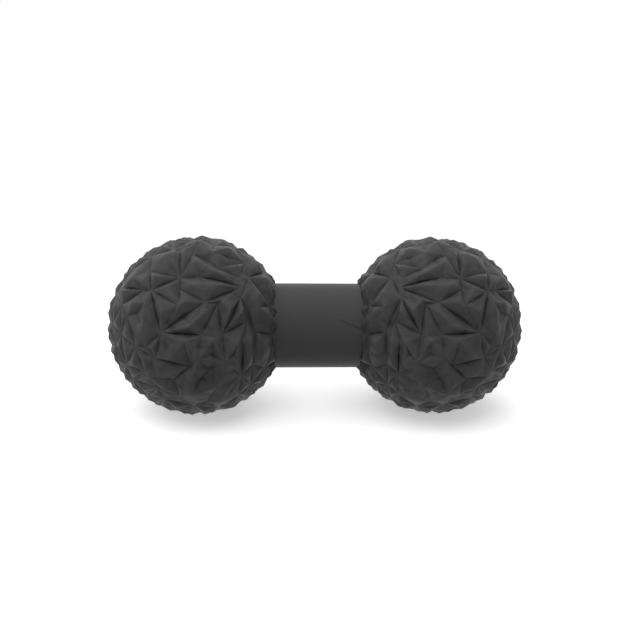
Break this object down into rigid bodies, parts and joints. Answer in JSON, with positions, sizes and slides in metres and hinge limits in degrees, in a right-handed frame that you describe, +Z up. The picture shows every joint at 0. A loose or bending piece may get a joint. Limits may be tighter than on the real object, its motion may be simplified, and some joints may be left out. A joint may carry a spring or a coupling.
{
  "type": "massage ball",
  "caption": "Double massage ball: two soft balls with a folded, faceted relief, joined by a smooth round neck, over a rigid hollow core.",
  "frame": {"origin": "on the surface the ball rests on, below the middle of the neck", "axes": "+X along the neck from the left ball to the right ball, +Z up, -Y towards the front"},
  "size_m": [0.1792, 0.0793, 0.0776],
  "materials": {
    "skin": "satin",
    "grip": "satin",
    "core": "matte",
    "screw": "zinc plated"
  },
  "bodies": {
    "root": {"left_ball_skin": "skin", "right_ball_skin": "skin", "neck_sleeve": "grip", "upper_core_half": "core", "lower_core_half": "core", "left_ball_screws": "screw", "right_ball_screws": "screw", "neck_screws": "screw"}
  },
  "joints": []
}
